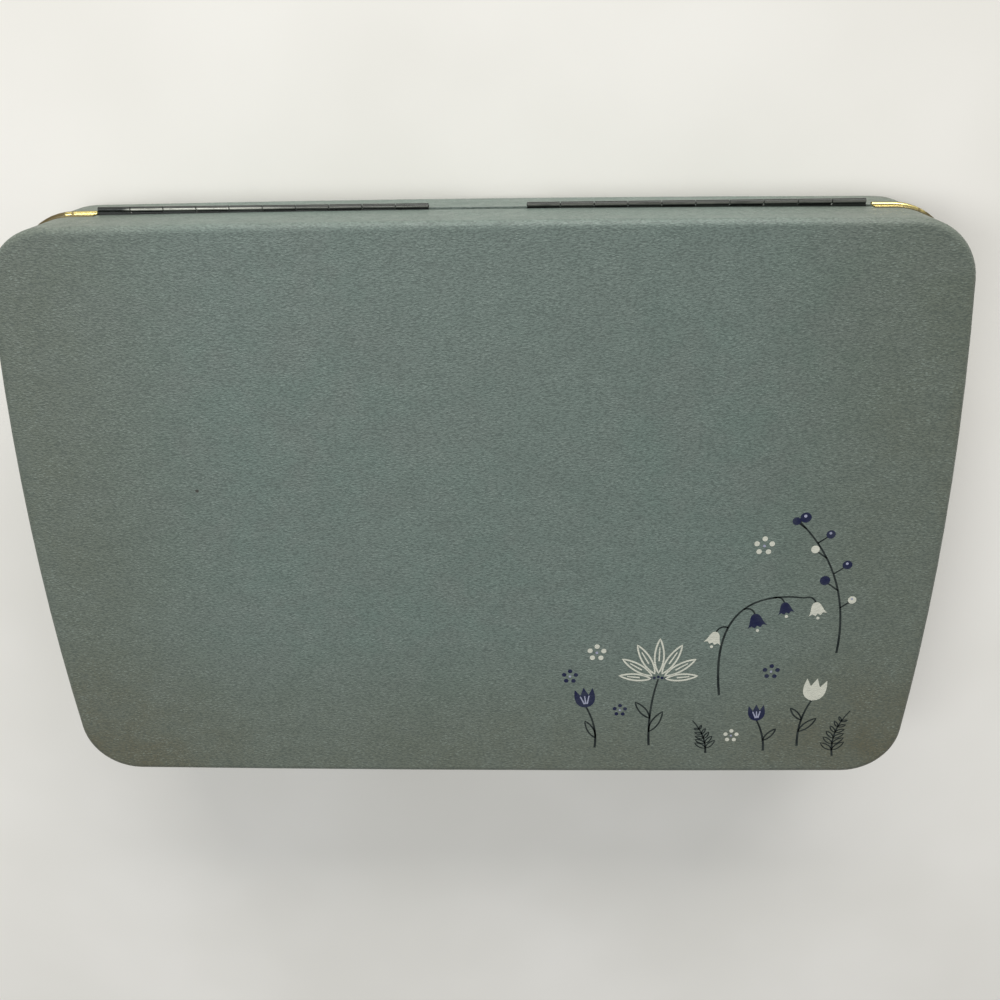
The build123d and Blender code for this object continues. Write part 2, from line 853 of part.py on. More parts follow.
def make_tray_studs(side):
    """Studs on one side of the tray: the rear one in the bracket, the front one in the arm."""
    rear = turned_stud(
        side,
        (lid_pivot_y, lid_pivot_z),
        (
            (tray_half_width, bracket_in_x - side_gap, stud_collar_radius),
            (bracket_in_x - side_gap, bracket_out_x + side_gap, stud_radius),
            (
                bracket_out_x + side_gap,
                bracket_out_x + side_gap + stud_head_thickness,
                stud_head_radius,
            ),
        ),
    )
    front = turned_stud(
        side,
        (tray_pivot_y, tray_pivot_z),
        (
            (tray_half_width, arm_inside_x - side_gap, stud_collar_radius),
            (arm_inside_x - side_gap, arm_out_x + side_gap, stud_radius),
            (
                arm_out_x + side_gap,
                arm_out_x + side_gap + stud_head_thickness,
                stud_head_radius,
            ),
        ),
    )
    return rear, front


def make_bracket_rivets():
    """Rivets with collars that hold the two brackets to the side boards of the lid."""
    with BuildPart() as rivets:
        for side in (1, -1):
            for y in bracket_rivet_ys:
                collar_end = side_face_x(y + bracket_collar_radius, lid_lined) - hole_clearance
                rivet_end = side_face_x(y, lid_inside) + rivet_length
                steps = (
                    (bracket_in_x, bracket_out_x, bracket_rivet_radius),
                    (bracket_out_x, collar_end, bracket_collar_radius),
                    (collar_end, rivet_end, bracket_rivet_radius),
                )
                add(turned_stud(side, (y, bracket_rivet_z), steps))
    return rivets.part


bracket_rivet_bodies = make_bracket_rivets()
with BuildPart() as lid_bracket_rivets:
    add(bracket_rivet_bodies)
lid_bracket_rivets.part.label = "lid_bracket_rivets"

for side, word in ((1, "right"), (-1, "left")):
    with BuildPart() as lid_bracket:
        add(make_bracket(side))
    lid_bracket.part.label = "lid_bracket_" + word
    with BuildPart() as tray_arm:
        add(make_arm(side))
    tray_arm.part.label = "tray_arm_" + word
    with BuildPart() as arm_mount:
        add(make_arm_mount(side))
    arm_mount.part.label = "arm_mount_" + word
    rear_stud, front_stud = make_tray_studs(side)
    with BuildPart() as tray_studs:
        add(rear_stud)
        add(front_stud)
    tray_studs.part.label = "tray_studs_" + word
    paired_pieces += [lid_bracket.part, tray_arm.part, arm_mount.part, tray_studs.part]


# Lock: plate, case, sliding bolt with its button, and the hook on the lid
plate_top = seam_z - rim_gap / 2 - base_band_height - plate_below_rim
plate_middle_z = plate_top - plate_height / 2
with BuildPart() as lock_plate:
    with BuildSketch(Plane.XZ.offset(-front_face_y)):
        with Locations((0, plate_middle_z)):
            RectangleRounded(plate_width, plate_height, plate_corner)
        with Locations(
            (
                (stem_slot_left + stem_slot_right) / 2,
                (stem_slot_low + stem_slot_high) / 2,
            )
        ):
            Rectangle(
                stem_slot_right - stem_slot_left,
                stem_slot_high - stem_slot_low,
                mode=Mode.SUBTRACT,
            )
    extrude(amount=plate_thickness)
    outer_face = lock_plate.faces().sort_by(Axis.Y)[0]
    chamfer(outer_face.outer_wire().edges(), length=plate_chamfer)
lock_plate.part.label = "lock_plate"

with BuildPart() as lock_case:
    fill_box(
        (case_left, front_board_y + hole_clearance, case_low),
        (case_right, front_inside_y - hole_clearance, base_edge_z),
    )
    cut_box(
        (case_left + lock_wall, front_board_y + lock_wall, case_low + lock_wall),
        (case_right - lock_wall, front_inside_y - lock_wall, base_edge_z - lock_wall),
    )
    cut_box(
        (stem_slot_left, front_board_y - lock_wall, stem_slot_low),
        (stem_slot_right, front_board_y + 2 * lock_wall, stem_slot_high),
    )
    cut_box(
        (hook_x - hook_shank - lock_play, bolt_front_y - lock_play, base_edge_z - 2 * lock_wall),
        (barb_tip_x + lock_play, bolt_back_y + lock_play, base_edge_z + lock_wall),
    )
lock_case.part.label = "lock_case"

button_back_y = front_face_y - plate_thickness - side_gap
with BuildPart() as latch_bolt:
    fill_box(
        (bolt_nose_x, bolt_front_y, bolt_low),
        (bolt_nose_x + bolt_length, bolt_back_y, bolt_high),
    )
    fill_box(
        (stem_x - stem_size / 2, button_back_y, stem_z - stem_size / 2),
        (stem_x + stem_size / 2, bolt_front_y, stem_z + stem_size / 2),
    )
latch_bolt.part.label = "latch_bolt"

with BuildPart() as latch_button:
    with BuildSketch(Plane.XZ.offset(-button_back_y)):
        with Locations((stem_x, stem_z)):
            RectangleRounded(button_width, button_height, button_corner)
    extrude(amount=button_thickness)
    button_face = latch_button.faces().sort_by(Axis.Y)[0]
    fillet(button_face.edges(), radius=button_round)
    front_y = button_back_y - button_thickness
    with Locations((stem_x, front_y, stem_z)):
        with GridLocations(grip_pitch, 1, grip_count, 1):
            Box(grip_width, 2 * grip_depth, button_height - 2 * grip_margin, mode=Mode.SUBTRACT)
latch_button.part.label = "latch_button"

with BuildPart() as lid_hook:
    fill_box(
        (hook_x - hook_shank, bolt_front_y, barb_low),
        (hook_x, bolt_back_y, hook_top),
    )
    fill_box(
        (hook_x - hook_shank, bolt_front_y, barb_low),
        (barb_tip_x, bolt_back_y, barb_top),
    )
lid_hook.part.label = "lid_hook"

os.makedirs("parts", exist_ok=True)
export_step(base_core.part, "parts/base_core.step")
export_step(base_cover.part, "parts/base_cover.step")
export_step(bottom_sheet.part, "parts/bottom_sheet.step")
export_step(base_lining.part, "parts/base_lining.step")
export_step(base_rim.part, "parts/base_rim.step")
export_step(base_divider_long.part, "parts/base_divider_long.step")
export_step(base_divider_left.part, "parts/base_divider_left.step")
export_step(base_divider_right.part, "parts/base_divider_right.step")
export_step(hinge_leaf_base_left.part, "parts/hinge_leaf_base_left.step")
export_step(hinge_leaf_base_right.part, "parts/hinge_leaf_base_right.step")
export_step(hinge_pin_left.part, "parts/hinge_pin_left.step")
export_step(hinge_pin_right.part, "parts/hinge_pin_right.step")
export_step(hinge_rivets_base.part, "parts/hinge_rivets_base.step")
export_step(lid_core.part, "parts/lid_core.step")
export_step(lid_cover.part, "parts/lid_cover.step")
export_step(lid_rim.part, "parts/lid_rim.step")
export_step(lid_lining.part, "parts/lid_lining.step")
export_step(lid_pad.part, "parts/lid_pad.step")
export_step(hinge_leaf_lid_left.part, "parts/hinge_leaf_lid_left.step")
export_step(hinge_leaf_lid_right.part, "parts/hinge_leaf_lid_right.step")
export_step(hinge_rivets_lid.part, "parts/hinge_rivets_lid.step")
export_step(lid_bracket_rivets.part, "parts/lid_bracket_rivets.step")
export_step(lid_hook.part, "parts/lid_hook.step")
export_step(tray_shell.part, "parts/tray_shell.step")
export_step(tray_lining.part, "parts/tray_lining.step")
export_step(tray_divider_long.part, "parts/tray_divider_long.step")
export_step(ring_rolls.part, "parts/ring_rolls.step")
export_step(lock_plate.part, "parts/lock_plate.step")
export_step(lock_case.part, "parts/lock_case.step")
export_step(latch_bolt.part, "parts/latch_bolt.step")
export_step(latch_button.part, "parts/latch_button.step")
for piece in paired_pieces:
    export_step(piece, "parts/" + piece.label + ".step")
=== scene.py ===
import json
import math

import bpy
from mathutils import Matrix, Vector, noise


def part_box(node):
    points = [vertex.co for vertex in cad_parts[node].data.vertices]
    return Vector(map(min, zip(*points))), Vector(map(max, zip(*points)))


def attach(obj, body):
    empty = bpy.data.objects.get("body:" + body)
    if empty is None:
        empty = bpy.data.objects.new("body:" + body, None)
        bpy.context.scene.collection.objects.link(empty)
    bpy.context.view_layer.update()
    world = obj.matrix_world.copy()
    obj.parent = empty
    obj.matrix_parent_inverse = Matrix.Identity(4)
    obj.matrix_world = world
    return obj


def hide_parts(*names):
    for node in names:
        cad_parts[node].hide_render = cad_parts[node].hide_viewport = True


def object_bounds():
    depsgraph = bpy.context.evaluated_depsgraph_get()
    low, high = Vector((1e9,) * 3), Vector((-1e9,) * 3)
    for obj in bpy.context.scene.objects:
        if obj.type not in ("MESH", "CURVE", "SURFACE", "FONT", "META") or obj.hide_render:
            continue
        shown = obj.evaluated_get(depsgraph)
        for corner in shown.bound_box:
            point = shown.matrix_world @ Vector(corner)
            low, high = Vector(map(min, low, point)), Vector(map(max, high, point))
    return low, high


# Jewelry case in grey-green leatherette, lying closed on a pale floor. Metres, +Y to the hinges.
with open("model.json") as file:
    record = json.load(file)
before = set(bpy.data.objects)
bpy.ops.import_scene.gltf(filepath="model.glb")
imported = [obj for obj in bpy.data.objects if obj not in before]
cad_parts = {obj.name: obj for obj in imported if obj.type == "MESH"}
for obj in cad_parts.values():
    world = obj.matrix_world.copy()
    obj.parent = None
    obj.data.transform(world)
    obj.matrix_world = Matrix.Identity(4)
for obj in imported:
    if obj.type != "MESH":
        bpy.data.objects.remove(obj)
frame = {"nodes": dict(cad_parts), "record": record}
cad_low, cad_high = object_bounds()
scene = bpy.context.scene
nodes = frame["nodes"]
MM = 0.001

# Camera: above the hinge side, with the hinges at the top of the picture
camera_place = Vector((0.01517, 0.13502, 0.33556))
camera_aim = Vector((0.00568, 0.00858, 0.0473))
camera_roll = math.radians(0.94)
sensor_width = 36.0
camera_lens = 37.43

# Grain of the leatherette: short pebbles and ridges that lie along X, wandering a little
pebble_length = 1.25 * MM
pebble_width = 0.52 * MM
ridge_length = 0.9 * MM
ridge_width = 0.4 * MM
grain_drift = 1.2 * MM
grain_depth = 0.13 * MM

# Printed design: heights over the lid, and the usual width of its lines in millimetres
lid_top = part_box("lid_cover")[1][2]
print_sink = 0.03 * MM
print_rise = 0.02 * MM
line_width = 0.72

# The one dark speck on the lid
speck_place = (-0.0857, 0.0128, lid_top)
speck_radius = 0.9 * MM

# Where the two brass rims meet, and the left hinge with its painted highlight stripe
seam = (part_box("base_rim")[1][2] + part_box("lid_rim")[0][2]) / 2
pin_low, pin_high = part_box("hinge_pin_left")
# Strength of the painted highlight stripe on the left hinge
hinge_highlight = 0.9

# Satin cushion in the lid
cushion_columns = 74
cushion_rows = 48
cushion_corner = 13 * MM
cushion_end_bow = 4.5 * MM
cushion_front_bow = 0.8 * MM
cushion_edge = 1.0 * MM
cushion_crown = 1.9 * MM
cushion_pressure = 4.0
cushion_fullness = 0.02
cushion_rise = 2.2 * MM
cloth_frames = 20

# Stuffed rolls for rings in the tray
roll_count = 7
roll_gap = 0.24 * MM
rings_per_roll = 30
points_per_ring = 24
roll_sag = 0.06
roll_fullness = 0.985
roll_dent = 0.02
roll_tip = 0.02

# Side of the square floor
floor_size = 6.0


def srgb(red, green, blue):
    """Linear colour of an sRGB value from 0 to 255."""
    linear = []
    for value in (red, green, blue):
        share = value / 255
        linear.append(share / 12.92 if share <= 0.04045 else ((share + 0.055) / 1.055) ** 2.4)
    return (*linear, 1.0)


class Shader:
    """Node tree of one material, with short calls for the nodes that the finishes share."""

    def __init__(self, name):
        self.material = bpy.data.materials.new(name)
        self.material.use_nodes = True
        self.tree = self.material.node_tree
        self.tree.nodes.clear()
        output = self.tree.nodes.new("ShaderNodeOutputMaterial")
        self.surface = self.tree.nodes.new("ShaderNodeBsdfPrincipled")
        self.tree.links.new(self.surface.outputs[0], output.inputs[0])
        self.place = self.tree.nodes.new("ShaderNodeTexCoord").outputs["Object"]

    def node(self, kind, **settings):
        """New node with some of its settings."""
        made = self.tree.nodes.new(kind)
        for key, value in settings.items():
            setattr(made, key, value)
        return made

    def put(self, socket, value):
        """Sets a socket, or links it where the value is another socket."""
        if isinstance(value, bpy.types.NodeSocket):
            self.tree.links.new(value, socket)
        else:
            socket.default_value = value

    def math(self, operation, first, second=0.0, clamp=False):
        """Result of an arithmetic operation on one or two values."""
        made = self.node("ShaderNodeMath", operation=operation, use_clamp=clamp)
        self.put(made.inputs[0], first)
        self.put(made.inputs[1], second)
        return made.outputs[0]

    def scaled(self, size, source=None):
        """Coordinates in which one unit is the given size, along each axis."""
        made = self.node("ShaderNodeVectorMath", operation="MULTIPLY")
        self.put(made.inputs[0], source or self.place)
        made.inputs[1].default_value = tuple(1 / length for length in size)
        return made.outputs[0]

    def clouds(self, size, detail=2.0, roughness=0.5, distortion=0.0, source=None):
        """Noise whose features measure size, which is one length or three."""
        lengths = size if isinstance(size, tuple) else (size, size, size)
        made = self.node("ShaderNodeTexNoise")
        self.put(made.inputs["Vector"], self.scaled(lengths, source))
        made.inputs["Scale"].default_value = 1.0
        made.inputs["Detail"].default_value = detail
        made.inputs["Roughness"].default_value = roughness
        made.inputs["Distortion"].default_value = distortion
        return made.outputs["Fac"]

    def cells(self, size, source=None, smooth=0.5):
        """Distance to the nearest of scattered points that lie about size apart."""
        made = self.node("ShaderNodeTexVoronoi", feature="SMOOTH_F1")
        self.put(made.inputs["Vector"], self.scaled(size, source))
        made.inputs["Scale"].default_value = 1.0
        made.inputs["Smoothness"].default_value = smooth
        return made.outputs["Distance"]

    def span(self, value, low, high, bottom=0.0, top=1.0):
        """A value stretched so that low..high becomes bottom..top."""
        made = self.node("ShaderNodeMapRange", interpolation_type="SMOOTHSTEP")
        self.put(made.inputs["Value"], value)
        made.inputs["From Min"].default_value = low
        made.inputs["From Max"].default_value = high
        made.inputs["To Min"].default_value = bottom
        made.inputs["To Max"].default_value = top
        return made.outputs[0]

    def product(self, first, second):
        """One value times another."""
        return self.math("MULTIPLY", first, second)

    def larger(self, first, second):
        """The larger of two values."""
        return self.math("MAXIMUM", first, second)

    def distance(self, value, middle):
        """How far a value is from a middle, on either side."""
        return self.math("ABSOLUTE", self.math("SUBTRACT", value, middle))

    def blend(self, share, first, second):
        """Two colours mixed by a share: the inputs from 6 on are the mixer's colours."""
        made = self.node("ShaderNodeMix", data_type="RGBA")
        self.put(made.inputs[0], share)
        self.put(made.inputs[6], first)
        self.put(made.inputs[7], second)
        return made.outputs[2]

    def axes(self):
        """X, Y and Z of the place, as three sockets."""
        made = self.node("ShaderNodeSeparateXYZ")
        self.put(made.inputs[0], self.place)
        return made.outputs

    def bump(self, height, depth, strength):
        """Normal of a surface that rises by depth where height is one."""
        made = self.node("ShaderNodeBump")
        made.inputs["Strength"].default_value = strength
        made.inputs["Distance"].default_value = depth
        self.put(made.inputs["Height"], height)
        return made.outputs[0]

    def set(self, **values):
        """Sets or links sockets of the surface; underscores stand for spaces."""
        for key, value in values.items():
            self.put(self.surface.inputs[key.replace("_", " ")], value)
        return self.material


def pebble_grain(shader):
    """Height of the pebbled grain, from 0 in the grooves to 1 on the pebbles."""
    drift = shader.node("ShaderNodeTexNoise")
    shader.put(drift.inputs["Vector"], shader.scaled((3.4 * MM, 2.6 * MM, 2.6 * MM)))
    drift.inputs["Scale"].default_value = 1.0
    drift.inputs["Detail"].default_value = 1.0
    moved = shader.node("ShaderNodeVectorMath", operation="MULTIPLY_ADD")
    shader.put(moved.inputs[0], drift.outputs["Color"])
    moved.inputs[1].default_value = (grain_drift, grain_drift, grain_drift)
    shader.put(moved.inputs[2], shader.place)
    warped = moved.outputs[0]
    pebbles = shader.cells((pebble_length, pebble_width, pebble_width), warped, 0.3)
    ridges = shader.clouds((ridge_length, ridge_width, ridge_width), 2.0, 0.65, 0.3, warped)
    top = shader.span(pebbles, 0.66, 0.1)
    rib = shader.span(ridges, 0.3, 0.7)
    swell = shader.span(shader.clouds((9 * MM, 6 * MM, 6 * MM), 2.0), 0.35, 0.65, 0.78, 1.0)
    fine = shader.math("ADD", shader.product(top, 0.5), shader.product(rib, 0.5))
    return shader.product(fine, swell)


def brown_share(shader):
    """Share of brown on the case: towards its ends and a little more at its right end, towards its
    front and most along its front edge, in patches.
    """
    x, y, _ = shader.axes()
    half = cad_high[0]
    near = cad_low[1]
    ends = shader.span(shader.math("ABSOLUTE", x), half - 75 * MM, half - 6 * MM, 0.0, 0.5)
    right = shader.span(x, half - 22 * MM, half - 2 * MM, 0.0, 0.6)
    front = shader.span(y, near + 66 * MM, near + 5 * MM, 0.0, 0.58)
    front_edge = shader.span(y, near + 5 * MM, near + 1 * MM, 0.0, 0.5)
    sides = shader.math("ADD", shader.larger(ends, right), front)
    both = shader.math("ADD", sides, front_edge, clamp=True)
    patches = shader.span(shader.clouds(14 * MM, 4.0, 0.6), 0.28, 0.72, 0.68, 1.0)
    return shader.product(both, patches)


# Colours of the leatherette
leather_colour = srgb(103, 116, 109)
leather_grey = srgb(104, 113, 107)
leather_green = srgb(98, 116, 108)
# leather_groove is the painted shade in the grain's grooves
leather_groove = srgb(64, 74, 69)
leather_rubbed = srgb(134, 147, 139)
leather_brown = srgb(92, 90, 72)


def leather_tone(shader, grain):
    """Colour of the leatherette: mottled, with painted shade in the grooves, browner towards its
    ends and front.
    """
    tint = shader.span(shader.clouds(14 * MM, 3.0, 0.6), 0.3, 0.7, 0.2, 0.8)
    tone = shader.blend(tint, leather_grey, leather_green)
    broad = shader.span(shader.clouds(70 * MM, 2.0, 0.5), 0.35, 0.65, 0.2, 0.8)
    tone = shader.blend(broad, tone, leather_colour)
    tone = shader.blend(brown_share(shader), tone, leather_brown)
    # Painted shade: the grain's grooves are darkened with the groove colour
    grooves = shader.span(grain, 0.36, 0.08, 0.0, 0.5)
    pebble_tops = shader.span(grain, 0.5, 0.9, 0.0, 0.42)
    return shader.blend(pebble_tops, shader.blend(grooves, tone, leather_groove), leather_rubbed)


def leatherette(name, with_speck):
    """Pebbled leatherette, with the one dark speck on the lid where asked."""
    shader = Shader(name)
    grain = pebble_grain(shader)
    tone = leather_tone(shader, grain)
    if with_speck:
        gap = shader.node("ShaderNodeVectorMath", operation="DISTANCE")
        shader.put(gap.inputs[0], shader.place)
        gap.inputs[1].default_value = speck_place
        rough = shader.product(shader.clouds(0.9 * MM, 3.0, 0.6), 0.8 * MM)
        edge = shader.math("ADD", gap.outputs["Value"], rough)
        spot = shader.span(edge, speck_radius + 0.25 * MM, speck_radius - 0.15 * MM, 0.0, 0.85)
        tone = shader.blend(spot, tone, srgb(46, 42, 36))
    gloss = shader.span(shader.clouds(5 * MM, 3.0, 0.6), 0.3, 0.7, 0.42, 0.56)
    return shader.set(
        Base_Color=tone,
        Roughness=gloss,
        Specular_IOR_Level=0.45,
        Normal=shader.bump(grain, grain_depth, 0.8),
    )


def printed_ink(name, colour, worn):
    """Ink printed on the leatherette: it follows the grain and is rubbed thin in places."""
    shader = Shader(name)
    grain = pebble_grain(shader)
    patch = shader.clouds(1.6 * MM, 3.0, 0.6)
    rubbed = shader.span(shader.product(patch, grain), 0.46, 0.62, 0.0, worn)
    shade = shader.span(shader.clouds(3 * MM, 2.0), 0.3, 0.7, 0.0, 0.12)
    ink = shader.blend(shade, colour, leather_grey)
    tone = shader.blend(rubbed, ink, leather_tone(shader, grain))
    return shader.set(
        Base_Color=tone,
        Roughness=0.5,
        Specular_IOR_Level=0.3,
        Normal=shader.bump(grain, grain_depth, 0.55),
    )


def polished_brass(name, colour, gloss, tarnish):
    """Brass with fine scratches along it, tarnished in patches."""
    shader = Shader(name)
    lines = shader.clouds((16 * MM, 16 * MM, 0.16 * MM), 3.0, 0.6)
    patches = shader.span(shader.clouds(6 * MM, 4.0, 0.65), 0.45, 0.72, 0.0, tarnish)
    return brass_surface(shader, colour, gloss, lines, patches)


def brass_surface(shader, colour, gloss, lines, patches):
    """Scratched brass that is browner and duller by the share in patches: tarnish, and on the rims
    also painted shade and a painted dark reflection.
    """
    tone = shader.blend(patches, colour, srgb(112, 100, 72))
    polish = shader.math("ADD", shader.product(lines, 0.16), gloss)
    rough = shader.math("ADD", polish, shader.product(patches, 0.3))
    return shader.set(
        Base_Color=tone,
        Metallic=1.0,
        Roughness=rough,
        Normal=shader.bump(lines, 0.01 * MM, 0.3),
    )


def rim_brass(name, colour, unshaded_low, unshaded_high):
    """Brass of a rim: bright between two heights, with painted shade darkening it below and above
    them, a painted dark reflection at its rear corners and in a line near each, and tarnish in
    patches.
    """
    shader = Shader(name)
    x, y, z = shader.axes()
    lines = shader.clouds((16 * MM, 16 * MM, 0.16 * MM), 3.0, 0.6)
    patches = shader.span(shader.clouds(5 * MM, 4.0, 0.65), 0.5, 0.72, 0.0, 0.35)
    # Painted shade: the brass is darkened along the band's top and bottom edges, outside the two
    # heights
    below = shader.span(z, unshaded_low, unshaded_low - 0.15 * MM, 0.0, 0.9)
    above = shader.span(z, unshaded_high, unshaded_high + 0.1 * MM, 0.0, 0.9)
    edges = shader.larger(below, above)
    rear = shader.span(y, 55 * MM, 66 * MM)
    left = shader.span(x, -120.5 * MM, -121.5 * MM)
    right = shader.span(x, 127 * MM, 129.5 * MM)
    # Painted dark reflection at the rear corners, where the rim turns out of view
    corners = shader.product(shader.larger(left, right), rear)
    tarnish_and_painted_dark = shader.larger(shader.larger(edges, corners), patches)
    # Painted dark reflection: a narrow dark line across the rear of the rim near each corner
    for mark in (-118.7 * MM, 126.4 * MM):
        painted_dark_line = shader.span(shader.distance(x, mark), 0.5 * MM, 0.25 * MM, 0.0, 0.85)
        tarnish_and_painted_dark = shader.larger(tarnish_and_painted_dark, shader.product(painted_dark_line, rear))
    # The rear corners take a dark colour: painted dark reflection
    shown = shader.blend(corners, colour, srgb(70, 70, 60))
    return brass_surface(shader, shown, 0.14, lines, tarnish_and_painted_dark)


def dark_lacquer(name, highlight_strength):
    """Dark lacquer on the hinges, with a painted highlight: a pale stripe along the crest of the
    left hinge's outer knuckles.
    """
    shader = Shader(name)
    x, y, z = shader.axes()
    waves = shader.clouds((7 * MM, 1.2 * MM, 1.2 * MM), 2.0)
    spots = shader.span(shader.clouds((3 * MM, 0.8 * MM, 0.8 * MM), 4.0, 0.7), 0.6, 0.78, 0.0, 0.4)
    tone = shader.blend(spots, srgb(31, 34, 31), srgb(88, 86, 78))
    crest = shader.span(shader.distance(y, (pin_low[1] + pin_high[1]) / 2), 0.38 * MM, 0.2 * MM)
    upper = shader.span(z, pin_high[2], pin_high[2] + 0.15 * MM)
    start = shader.span(x, -104 * MM, -100 * MM)
    fade = shader.span(x, -74 * MM, -48 * MM, 1.0, 0.3)
    along = shader.product(shader.product(start, fade), highlight_strength)
    thin = shader.span(shader.clouds((6 * MM, 1.0 * MM, 1.0 * MM), 3.0), 0.3, 0.6, 0.55, 1.0)
    # Painted highlight: a pale stripe on the crests of the left hinge's knuckles, where a light's
    # reflection would fall
    painted_highlight = shader.product(shader.product(shader.product(crest, upper), along), thin)
    tone = shader.blend(painted_highlight, tone, srgb(182, 182, 172))
    gloss = shader.span(waves, 0.3, 0.7, 0.2, 0.34)
    return shader.set(
        Base_Color=tone,
        Metallic=0.3,
        Roughness=gloss,
        Specular_IOR_Level=0.35,
        Coat_Weight=0.12,
        Coat_Roughness=0.15,
        Normal=shader.bump(waves, 0.03 * MM, 0.3),
    )


def brushed_steel(name):
    """Plain steel with brush lines and dull patches."""
    shader = Shader(name)
    lines = shader.clouds((8 * MM, 0.15 * MM, 0.15 * MM), 3.0, 0.6)
    dull = shader.span(shader.clouds(4 * MM, 3.0), 0.35, 0.7)
    tone = shader.blend(dull, srgb(186, 186, 184), srgb(140, 138, 134))
    rough = shader.math("ADD", shader.product(lines, 0.25), 0.25)
    return shader.set(
        Base_Color=tone,
        Metallic=1.0,
        Roughness=rough,
        Normal=shader.bump(lines, 0.01 * MM, 0.4),
    )


def velvet(name, colour, shade, light):
    """Short velvet pile: brushed patches, a soft sheen and a fine nap."""
    shader = Shader(name)
    nap = shader.clouds(0.35 * MM, 2.0, 0.7)
    brushed = shader.span(shader.clouds((22 * MM, 14 * MM, 14 * MM), 3.0, 0.55, 0.6), 0.32, 0.68)
    tone = shader.blend(brushed, shade, colour)
    tone = shader.blend(shader.span(nap, 0.4, 0.75, 0.0, 0.4), tone, light)
    return shader.set(
        Base_Color=tone,
        Roughness=0.9,
        Specular_IOR_Level=0.2,
        Sheen_Weight=0.5,
        Sheen_Roughness=0.4,
        Normal=shader.bump(nap, 0.12 * MM, 0.6),
    )


def satin(name, colour, shade):
    """Satin cloth: a fine weave whose threads run along X, glossy across them."""
    shader = Shader(name)
    threads = shader.clouds((5 * MM, 0.14 * MM, 0.14 * MM), 2.0, 0.6)
    slubs = shader.clouds((14 * MM, 0.5 * MM, 0.5 * MM), 2.0, 0.6)
    # Painted shade of folds: darker patches of the satin at random
    painted_fold_shade = shader.span(shader.clouds((40 * MM, 12 * MM, 12 * MM), 2.0, 0.5, 0.3), 0.3, 0.7)
    tone = shader.blend(painted_fold_shade, shade, colour)
    tone = shader.blend(shader.span(slubs, 0.55, 0.8, 0.0, 0.35), tone, srgb(236, 232, 222))
    weave = shader.math("ADD", threads, shader.product(slubs, 0.5))
    return shader.set(
        Base_Color=tone,
        Roughness=0.38,
        Specular_IOR_Level=0.55,
        Sheen_Weight=0.3,
        Sheen_Roughness=0.3,
        Normal=shader.bump(weave, 0.05 * MM, 0.5),
    )


def felt(name, colour, shade):
    """Felt with loose matted fibres."""
    shader = Shader(name)
    fibres = shader.clouds(0.5 * MM, 5.0, 0.75, 1.2)
    patches = shader.span(shader.clouds(12 * MM, 3.0), 0.35, 0.65)
    tone = shader.blend(patches, colour, shade)
    return shader.set(
        Base_Color=tone,
        Roughness=0.95,
        Specular_IOR_Level=0.15,
        Normal=shader.bump(fibres, 0.25 * MM, 0.8),
    )


def bare_board(name, colour, streak):
    """Pressed board: fine fibre streaks and pores."""
    shader = Shader(name)
    fibres = shader.clouds((9 * MM, 0.7 * MM, 0.7 * MM), 4.0, 0.65)
    pores = shader.clouds(1.1 * MM, 3.0, 0.7)
    tone = shader.blend(shader.span(fibres, 0.3, 0.7), colour, streak)
    return shader.set(
        Base_Color=tone,
        Roughness=0.8,
        Specular_IOR_Level=0.3,
        Normal=shader.bump(pores, 0.08 * MM, 0.6),
    )


def paint_nodes():
    """Each CAD node gets its own finish or that of its material slot; gives the slots' finishes."""
    velvet_blue = velvet("velvet", srgb(92, 110, 126), srgb(76, 93, 109), srgb(146, 161, 174))
    # The satin's second colour is its painted fold shade
    ivory_satin = satin("satin", srgb(208, 202, 188), srgb(194, 187, 172))
    finishes = {
        "leatherette": leatherette("leatherette", False),
        "board": bare_board("board", srgb(168, 140, 104), srgb(132, 106, 76)),
        "velvet_board": velvet_blue,
        "velvet": velvet_blue,
        "satin": ivory_satin,
        "felt": felt("felt", srgb(56, 64, 62), srgb(44, 50, 50)),
        "brass_trim": polished_brass("brass_trim", srgb(236, 222, 170), 0.16, 0.5),
        "carriage_brass": polished_brass("carriage_brass", srgb(222, 198, 132), 0.3, 0.6),
        "dark_hinge": dark_lacquer("dark_hinge", hinge_highlight),
        "steel": brushed_steel("steel"),
    }
    lid_leather = leatherette("lid_leatherette", True)
    base_brass = rim_brass("base_rim_brass", srgb(234, 216, 142), seam - 0.6 * MM, seam)
    # Painted shade: the lid rim's brass is given a darker colour than the base rim's
    lid_brass = rim_brass("lid_rim_brass", srgb(204, 190, 138), seam + 0.5 * MM, seam + 2.1 * MM)
    pin_lacquer = dark_lacquer("pin_lacquer", 0.0)
    own = {
        "lid_cover": lid_leather,
        "base_rim": base_brass,
        "lid_rim": lid_brass,
        "hinge_pin_left": pin_lacquer,
        "hinge_pin_right": pin_lacquer,
    }
    for row in frame["record"]["subparts"]:
        name = row["node"]
        mesh = nodes[name].data
        mesh.materials.clear()
        mesh.materials.append(own.get(name, finishes[row["material_slot"]]))
    return finishes


finishes = paint_nodes()


def make_piece(name, vertices, faces, material, body, smooth=False):
    """Mesh object with one finish that rides on a body."""
    mesh = bpy.data.meshes.new(name)
    mesh.from_pydata(vertices, [], faces)
    mesh.update()
    piece = bpy.data.objects.new(name, mesh)
    scene.collection.objects.link(piece)
    mesh.materials.append(material)
    if smooth:
        for face in mesh.polygons:
            face.use_smooth = True
    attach(piece, body)
    return piece


